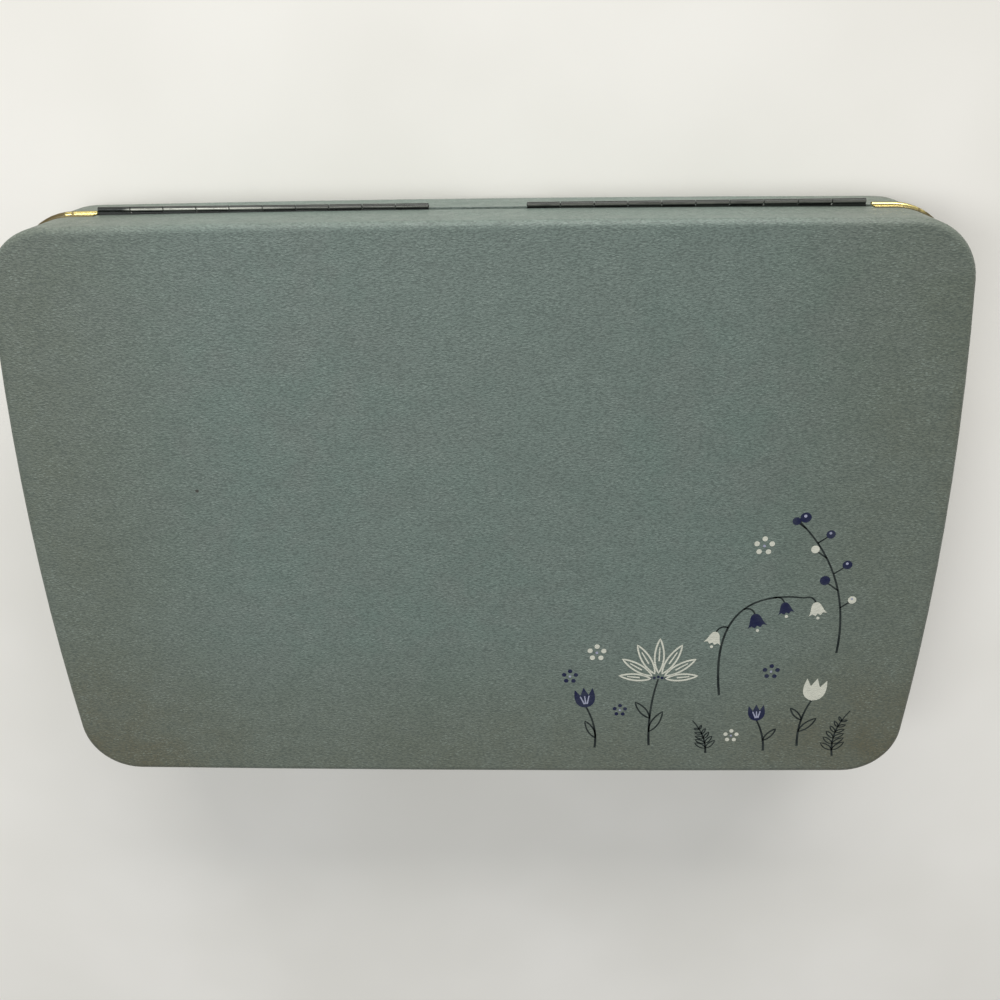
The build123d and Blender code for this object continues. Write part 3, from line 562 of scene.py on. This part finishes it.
class Print:
    """One colour of the printed design: thin closed shapes on the lid, drawn in millimetres.

    A colour of a higher layer stands a little higher, so that it covers those below it.
    """

    def __init__(self, name, colour, worn, layer):
        self.name = name
        self.material = printed_ink(name, colour, worn)
        self.low = lid_top - print_sink
        self.high = lid_top + print_rise * (1 + layer)
        self.vertices = []
        self.faces = []

    def prism(self, outline):
        """Closed flat shape with the given outline."""
        first = len(self.vertices)
        count = len(outline)
        for height in (self.low, self.high):
            self.vertices += [(x * MM, y * MM, height) for x, y in outline]
        self.faces.append(tuple(first + i for i in reversed(range(count))))
        self.faces.append(tuple(first + count + i for i in range(count)))
        for i in range(count):
            j = (i + 1) % count
            self.faces.append((first + i, first + j, first + count + j, first + count + i))

    def stroke(self, points, start=1.0, end=1.0):
        """Line through points, its width in shares of the usual one at start and end."""
        left, right = [], []
        last = len(points) - 1
        for i, (x, y) in enumerate(points):
            ahead = points[min(i + 1, last)]
            behind = points[max(i - 1, 0)]
            along = Vector((ahead[0] - behind[0], ahead[1] - behind[1])).normalized()
            half = line_width / 2 * (start + (end - start) * i / last)
            left.append((x - along.y * half, y + along.x * half))
            right.append((x + along.y * half, y - along.x * half))
        self.prism(right + left[::-1])

    def loop(self, points, width=1.0):
        """Line round a closed outline."""
        count = len(points)
        half = line_width / 2 * width
        first = len(self.vertices)
        for height in (self.low, self.high):
            for i in range(count):
                ahead = Vector(points[(i + 1) % count])
                behind = Vector(points[i - 1])
                along = (ahead - behind).normalized()
                x, y = points[i]
                for side in (half, -half):
                    edge = ((x + along.y * side) * MM, (y - along.x * side) * MM, height)
                    self.vertices.append(edge)
        below = 2 * count
        for i in range(count):
            a, b = first + 2 * i, first + 2 * ((i + 1) % count)
            self.faces.append((a + below, b + below, b + below + 1, a + below + 1))
            self.faces.append((b, a, a + 1, b + 1))
            self.faces.append((a, b, b + below, a + below))
            self.faces.append((b + 1, a + 1, a + below + 1, b + below + 1))

    def finish(self):
        """The shapes drawn so far as one piece on the lid."""
        make_piece(self.name, self.vertices, self.faces, self.material, "lid")


def bend(control, steps=14):
    """Smooth line from the first control point to the last, drawn towards those between."""
    points = []
    for k in range(steps + 1):
        t = k / steps
        row = [Vector(p) for p in control]
        while len(row) > 1:
            row = [a.lerp(b, t) for a, b in zip(row, row[1:])]
        points.append((row[0].x, row[0].y))
    return points


def point_at(line, share):
    """Point of a line at a share of its steps."""
    return line[round(share * (len(line) - 1))]


def placed(points, place, turn):
    """Points turned by degrees and moved to a place."""
    c, s = math.cos(math.radians(turn)), math.sin(math.radians(turn))
    return [(place[0] + c * x - s * y, place[1] + s * x + c * y) for x, y in points]


def disc(place, radius, count=14):
    """Round dot."""
    turns = [2 * math.pi * k / count for k in range(count)]
    return [(place[0] + radius * math.cos(a), place[1] + radius * math.sin(a)) for a in turns]


def leaf_outline(length, width, steps=9):
    """Pointed leaf along +X from the origin."""
    upper = bend([(0, 0), (length * 0.3, width), (length * 0.7, width * 0.8), (length, 0)], steps)
    lower = [(x, -y) for x, y in reversed(upper[1:-1])]
    return (upper + lower)[::-1]


def tulip_outline(size):
    """Cup of a tulip with three tips, its stem end at the origin."""
    right = bend([(0, 0), (0.75, 0.1), (0.62, 0.9), (0.52, 1.3)], 8)
    tips = [(0.24, 0.86), (0.0, 1.38), (-0.24, 0.86)]
    left = [(-x, y) for x, y in reversed(right[1:])]
    return [(x * size, y * size) for x, y in right + tips + left]


def bell_outline(size):
    """Hanging bell with a wavy rim, its stem end at the origin."""
    right = bend([(0, 0), (0.5, -0.02), (0.38, -0.75), (0.72, -1.12)], 8)
    rim = [(0.42, -1.0), (0.2, -1.2), (0.0, -1.02), (-0.2, -1.2), (-0.42, -1.0)]
    left = [(-x, y) for x, y in reversed(right[1:])]
    return [(x * size, y * size) for x, y in (right + rim + left)][::-1]


def draw_design():
    """Generic spring flowers at the lid's front right: tulips, bells, berries and ferns.

    Places are millimetres from the case's origin, +X to the right and -Y to the front.
    """
    navy = Print("print_navy", srgb(12, 18, 56), 0.2, 1)
    cream = Print("print_cream", srgb(200, 200, 186), 0.4, 2)
    green = Print("print_green", srgb(10, 20, 20), 0.2, 0)
    lilac = Print("print_lilac", srgb(150, 152, 172), 0.35, 3)

    def stem(foot, head, bow, leaves):
        """Stem with outlined leaves, each given by its share of the height, lean and length."""
        line = bend([foot, bow, head], 20)
        green.stroke(line, 1.1, 0.8)
        for share, lean, length in leaves:
            leaf = leaf_outline(length, length * 0.2)
            green.loop(placed(leaf, point_at(line, share), lean), 0.75)

    def tulip(head, turn, size, ink, veined):
        """Solid cup of a tulip, with pale veins where asked."""
        ink.prism(placed(tulip_outline(size), head, turn))
        if veined:
            for lean in (-0.26, 0.0, 0.26):
                vein = [(lean * 0.3 * size, 0.25 * size), (lean * size, 0.8 * size)]
                lilac.stroke(placed(vein, head, turn), 0.7, 0.5)

    def open_tulip(head, reach):
        """Wide open flower drawn in outline: petals fanned upward over a row of dots."""
        heart = 2.4
        petals = ((90, 1.0), (61, 0.96), (119, 0.96), (33, 0.9), (147, 0.9), (6, 0.8), (174, 0.8))
        for turn, share in petals:
            length = reach * share
            shape = [(x + heart, y) for x, y in leaf_outline(length, length * 0.17, 12)]
            cream.loop(placed(shape, head, turn), 0.75)
            vein = [(heart + length * 0.35, 0), (heart + length * 0.75, 0)]
            cream.stroke(placed(vein, head, turn), 0.7, 0.5)
        for k in range(-2, 3):
            navy.prism(disc((head[0] + 1.25 * k, head[1] + 0.9 - 0.35 * abs(k)), 0.5, 10))

    def bells(foot, tip, bow, hangs):
        """Arching stem with bells on short stalks."""
        arch = bend([foot, bow, tip], 22)
        green.stroke(arch, 1.1, 0.7)
        for share, side, size, ink in hangs:
            x, y = point_at(arch, share)
            drop = (x + side * 3.6, y - 1.6)
            green.stroke(bend([(x, y), (x + side * 2.5, y + 0.9), drop], 6), 0.8, 0.7)
            ink.prism(placed(bell_outline(size), drop, side * 14))
            cream.prism(disc((drop[0] + side * 0.3 * size, drop[1] - 1.4 * size), 0.5))

    def twig(foot, tip, bow, berries):
        """Thin twig with berries on both sides, every other one with a pale shine."""
        line = bend([foot, bow, tip], 16)
        green.stroke(line, 1.0, 0.7)
        for index, (share, side, reach, ink, radius) in enumerate(berries):
            x, y = point_at(line, share)
            end = (x + side * reach, y + reach * 0.75)
            green.stroke([(x, y), end], 0.7, 0.6)
            ink.prism(disc((end[0] + side * radius * 0.6, end[1] + radius * 0.6), radius))
            if index % 2 == 0:
                shine = (end[0] + side * radius * 0.5, end[1] + radius * 0.9)
                lilac.prism(disc(shine, radius * 0.3, 8))

    def fern(foot, tip, bow, pairs, reach):
        """Fern frond with paired leaflets that shorten to its tip."""
        line = bend([foot, bow, tip], pairs + 2)
        green.stroke(line, 1.0, 0.5)
        for k in range(1, pairs + 1):
            x, y = line[k]
            ahead = line[k + 1]
            heading = math.degrees(math.atan2(ahead[1] - y, ahead[0] - x))
            length = reach * (1 - 0.62 * k / pairs)
            leaflet = leaf_outline(length, length * 0.24, 5)
            for side in (1, -1):
                green.loop(placed(leaflet, (x, y), heading + side * 52), 0.6)

    def dots(place, ring, radius, ink):
        """Ring of five dots round a small one."""
        for k in range(5):
            turn = 2 * math.pi * k / 5 + 0.3
            spot = (place[0] + ring * math.cos(turn), place[1] + ring * math.sin(turn))
            ink.prism(disc(spot, radius, 10))
        lilac.prism(disc(place, radius * 0.55, 8))

    stem((54, -80), (56, -54), (53, -66), ((0.2, 62, 9.0), (0.38, 128, 8.0)))
    open_tulip((56, -54), 12.8)
    stem((36, -81), (33, -65), (37, -73), ((0.25, 118, 7.5),))
    tulip((33, -65), 8, 5.6, navy, True)
    stem((103, -80), (106, -62), (102, -70), ((0.3, 44, 7.5), (0.55, 130, 6.0)))
    tulip((106, -62), -8, 6.2, cream, False)
    stem((92, -82), (89, -70), (92, -76), ((0.35, 50, 6.0),))
    tulip((89, -70), 6, 4.6, navy, True)
    bells(
        (76, -60),
        (100, -24),
        (70, -20),
        ((0.42, -1, 3.9, cream), (0.6, 1, 4.3, navy), (0.8, 1, 3.6, navy), (1.0, 1, 4.0, cream)),
    )
    twig(
        (112, -44),
        (96, 2),
        (114, -16),
        (
            (0.3, 1, 2.6, cream, 1.3),
            (0.44, -1, 3.4, navy, 1.6),
            (0.58, 1, 3.0, navy, 1.5),
            (0.7, -1, 3.0, cream, 1.3),
            (0.82, 1, 2.8, navy, 1.4),
            (0.92, -1, 2.4, navy, 1.3),
            (1.0, 1, 0.6, navy, 1.7),
        ),
    )
    fern((115, -84), (119, -66), (113, -74), 6, 5.4)
    fern((73, -83), (68, -70), (73, -76), 5, 4.8)
    dots((36, -44), 2.3, 0.85, cream)
    dots((27.5, -53), 2.0, 0.75, navy)
    dots((86, -6), 2.4, 0.85, cream)
    dots((81, -76), 1.9, 0.7, cream)
    dots((92, -51), 2.1, 0.75, navy)
    dots((44, -66), 1.8, 0.65, navy)
    for ink in (navy, cream, green, lilac):
        ink.finish()


draw_design()


def cushion_half_width(share, half_x, half_y):
    """Half the width of the lid's cushion at a share of its depth: bowed ends, round corners."""
    past = max(0.0, abs(share) * half_y - (half_y - cushion_corner))
    rounding = cushion_corner - math.sqrt(cushion_corner**2 - past**2)
    return half_x - cushion_end_bow * share**2 - rounding


def cushion_mesh(low, high):
    """Two sheets joined at the border; gives the points, the faces and the points held still."""
    columns, rows = cushion_columns, cushion_rows
    half_x = (high[0] - low[0]) / 2
    half_y = (high[1] - low[1]) / 2
    vertices, faces, held = [], [], []
    for layer in (0, 1):
        for j in range(rows + 1):
            v = 2 * j / rows - 1
            wide = cushion_half_width(v, half_x, half_y)
            for i in range(columns + 1):
                u = 2 * i / columns - 1
                depth = (cushion_edge + cushion_crown * (1 - u**8) * (1 - v**8)) * layer
                border = i in (0, columns) or j in (0, rows)
                if layer == 0 or border:
                    held.append(len(vertices))
                deep = half_y - cushion_front_bow * u * u
                vertices.append((u * wide, v * deep, high[2] - depth))
    row = columns + 1
    sheet = row * (rows + 1)
    for j in range(rows):
        for i in range(columns):
            a = j * row + i
            faces.append((a, a + 1, a + row + 1, a + row))
            faces.append((sheet + a, sheet + a + row, sheet + a + row + 1, sheet + a + 1))
    ring = list(range(columns))
    ring += [j * row + columns for j in range(rows)]
    ring += [rows * row + i for i in range(columns, 0, -1)]
    ring += [j * row for j in range(rows, 0, -1)]
    for a, b in zip(ring, ring[1:] + ring[:1]):
        faces.append((b, a, sheet + a, sheet + b))
    return vertices, faces, held


def blow_up(piece, held, pressure, fullness, most):
    """Inflates the loose part of a closed piece by cloth simulation and keeps the result.

    The cloth is larger than the piece by fullness, and no point moves further than most.
    """
    group = piece.vertex_groups.new(name="held")
    group.add(held, 1.0, "REPLACE")
    before = [vertex.co.copy() for vertex in piece.data.vertices]
    cloth = piece.modifiers.new("cloth", "CLOTH")
    cloth.settings.quality = 6
    cloth.settings.mass = 0.002
    cloth.settings.tension_stiffness = 4.0
    cloth.settings.compression_stiffness = 4.0
    cloth.settings.shear_stiffness = 2.0
    cloth.settings.bending_stiffness = 0.01
    cloth.settings.vertex_group_mass = "held"
    cloth.settings.shrink_min = -fullness
    cloth.settings.use_pressure = True
    cloth.settings.uniform_pressure_force = pressure
    cloth.settings.effector_weights.gravity = 0.0
    cloth.collision_settings.use_collision = False
    cloth.collision_settings.use_self_collision = False
    for frame_number in range(1, cloth_frames + 1):
        scene.frame_set(frame_number)
    shaped = piece.evaluated_get(bpy.context.evaluated_depsgraph_get())
    after = [vertex.co.copy() for vertex in shaped.to_mesh().vertices]
    shaped.to_mesh_clear()
    piece.modifiers.remove(cloth)
    for vertex, start, end in zip(piece.data.vertices, before, after):
        move = end - start
        if move.length > most:
            move *= most / move.length
        vertex.co = start + move
    scene.frame_set(1)


def subdivide(piece, levels):
    """Applies a subdivision surface."""
    smooth = piece.modifiers.new("smooth", "SUBSURF")
    smooth.levels = levels
    shaped = piece.evaluated_get(bpy.context.evaluated_depsgraph_get())
    finer = bpy.data.meshes.new_from_object(shaped)
    piece.modifiers.remove(smooth)
    piece.data = finer


def make_cushion():
    """Satin cushion on the lid's ceiling."""
    low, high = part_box("lid_pad")
    vertices, faces, held = cushion_mesh(low, high)
    cushion = make_piece("lid_cushion", vertices, faces, finishes["satin"], "lid", True)
    blow_up(cushion, held, cushion_pressure, cushion_fullness, cushion_rise)
    subdivide(cushion, 1)
    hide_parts("lid_pad")


def roll_ring(middle, half_width, half_height, shrink):
    """One ring of points round a stuffed roll, a little flat underneath."""
    points = []
    for k in range(points_per_ring):
        turn = 2 * math.pi * k / points_per_ring
        y = half_width * shrink * math.cos(turn)
        z = half_height * shrink * math.sin(turn)
        if z < 0:
            z *= 1 - roll_sag * math.cos(turn) ** 2
        points.append((middle[0], middle[1] + y, middle[2] + z))
    return points


def make_rolls():
    """Stuffed velvet rolls side by side in the tray, for rings."""
    low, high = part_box("ring_rolls")
    radius = (high[2] - low[2]) / 2
    pitch = (high[1] - low[1] - 2 * radius) / (roll_count - 1)
    half_width = (pitch - roll_gap) / 2
    half_length = (high[0] - low[0]) / 2
    around = points_per_ring
    vertices, faces = [], []
    for index in range(roll_count):
        middle_y = low[1] + radius + pitch * index
        first = len(vertices)
        for r in range(rings_per_roll + 1):
            t = 2 * r / rings_per_roll - 1
            along = math.copysign(1 - (1 - abs(t)) ** 1.6, t)
            x = (low[0] + high[0]) / 2 + along * half_length
            dent = abs(noise.noise(Vector((x * 60, index * 3.7, 0.4))) * roll_dent)
            rounding = roll_fullness * max(0.0, 1 - abs(along) ** 16) ** 0.5
            shrink = max(rounding - dent, roll_tip)
            vertices += roll_ring((x, middle_y, low[2] + radius), half_width, radius, shrink)
        for r in range(rings_per_roll):
            for k in range(around):
                a = first + r * around + k
                b = first + r * around + (k + 1) % around
                faces.append((a, b, b + around, a + around))
        last = first + rings_per_roll * around
        faces.append(tuple(first + k for k in reversed(range(around))))
        faces.append(tuple(last + k for k in range(around)))
    rolls = make_piece("velvet_rolls", vertices, faces, finishes["velvet"], "tray", True)
    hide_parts("ring_rolls")


make_cushion()
make_rolls()


def add_camera():
    """Camera at the photograph's angle and framing."""
    camera = bpy.data.objects.new("camera", bpy.data.cameras.new("camera"))
    camera.data.sensor_width = sensor_width
    camera.data.lens = camera_lens
    forward = (camera_aim - camera_place).normalized()
    right = forward.cross(Vector((0, 1, 0))).normalized()
    up = right.cross(forward)
    level = Matrix((right, up, -forward)).transposed()
    turned = Matrix.Rotation(camera_roll, 3, forward) @ level
    camera.matrix_world = Matrix.Translation(camera_place) @ turned.to_4x4()
    scene.collection.objects.link(camera)
    scene.camera = camera


def add_light(name, place, aim, size, power, colour):
    """Soft rectangular lamp that faces a point."""
    lamp = bpy.data.lights.new(name, "AREA")
    lamp.shape = "RECTANGLE"
    lamp.size, lamp.size_y = size
    lamp.energy = power
    lamp.color = colour
    holder = bpy.data.objects.new(name, lamp)
    holder.location = place
    heading = Vector(aim) - Vector(place)
    holder.rotation_euler = heading.to_track_quat("-Z", "Y").to_euler()
    scene.collection.objects.link(holder)


def add_world(strength, colour, seen):
    """Even pale surroundings, which the camera sees in a colour of their own."""
    world = bpy.data.worlds.new("surroundings")
    world.use_nodes = True
    tree = world.node_tree
    sky = tree.nodes["Background"]
    sky.inputs["Color"].default_value = colour
    sky.inputs["Strength"].default_value = strength
    backdrop = tree.nodes.new("ShaderNodeBackground")
    backdrop.inputs["Color"].default_value = seen
    mixed = tree.nodes.new("ShaderNodeMixShader")
    rays = tree.nodes.new("ShaderNodeLightPath")
    tree.links.new(rays.outputs["Is Camera Ray"], mixed.inputs[0])
    tree.links.new(sky.outputs[0], mixed.inputs[1])
    tree.links.new(backdrop.outputs[0], mixed.inputs[2])
    tree.links.new(mixed.outputs[0], tree.nodes["World Output"].inputs["Surface"])
    scene.world = world


def add_floor():
    """Plain pale floor under the case, with room for its shadow."""
    half = floor_size / 2
    corners = [(-half, -half, 0), (half, -half, 0), (half, half, 0), (-half, half, 0)]
    mesh = bpy.data.meshes.new("floor")
    mesh.from_pydata(corners, [], [(0, 1, 2, 3)])
    floor = bpy.data.objects.new("floor", mesh)
    scene.collection.objects.link(floor)
    shader = Shader("floor")
    drift = shader.span(shader.clouds(120 * MM, 3.0), 0.3, 0.7)
    tone = shader.blend(drift, srgb(232, 229, 222), srgb(240, 237, 231))
    mesh.materials.append(shader.set(Base_Color=tone, Roughness=0.85, Specular_IOR_Level=0.2))


add_camera()
add_floor()
add_world(strength=0.44, colour=srgb(236, 238, 240), seen=srgb(226, 225, 221))
add_light(
    "key",
    place=(0.15, 1.6, 0.57),
    aim=(0, 0.05, 0.02),
    size=(1.75, 0.87),
    power=32,
    colour=(1.0, 0.98, 0.95),
)
add_light(
    "fill",
    place=(-0.36, 0.15, 1.0),
    aim=(-0.05, 0.05, 0),
    size=(0.24, 0.7),
    power=4,
    colour=(0.96, 0.99, 1.0),
)
scene.view_settings.view_transform = "Standard"
